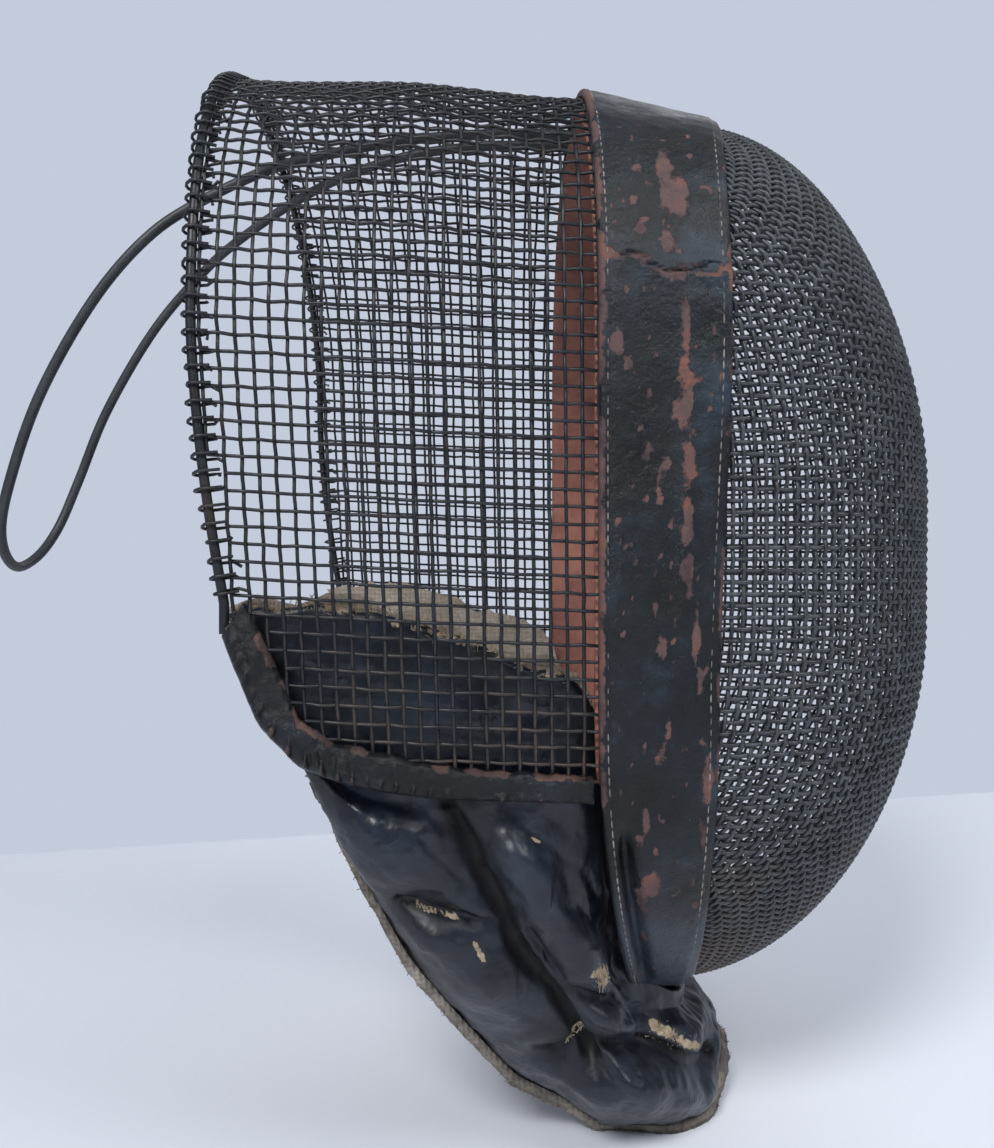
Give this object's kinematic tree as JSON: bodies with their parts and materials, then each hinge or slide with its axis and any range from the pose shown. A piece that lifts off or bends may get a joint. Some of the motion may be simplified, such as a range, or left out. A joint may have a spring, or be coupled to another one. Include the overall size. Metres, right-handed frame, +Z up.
{
  "type": "fencing mask",
  "caption": "Old fencing mask: deep woven wire face, coarser wire sides open at the back, leather band, padded leather bib and looped back spring.",
  "frame": {"origin": "middle of the mask's box, on the surface that the bib stands on", "axes": "+X the way the face looks, +Y to the wearer's left, +Z up"},
  "size_m": [0.3164, 0.2016, 0.342],
  "materials": {
    "black_wire": "worn black paint on woven steel wire",
    "black_leather": "painted leather, satin, scuffed through to brown",
    "brown_leather": "unfinished flesh side",
    "tan_canvas": "plain woven cotton, frayed",
    "black_tubing": "satin tubing over spring wire"
  },
  "bodies": {
    "root": {"front_mesh": "black_wire", "side_mesh": "black_wire", "rim_wire": "black_wire", "band_outer": "black_leather", "band_inner": "brown_leather", "bottom_trim_right": "black_leather", "bottom_trim_left": "black_leather", "bib": "black_leather", "bib_lining": "tan_canvas", "back_spring": "black_tubing"}
  },
  "joints": []
}
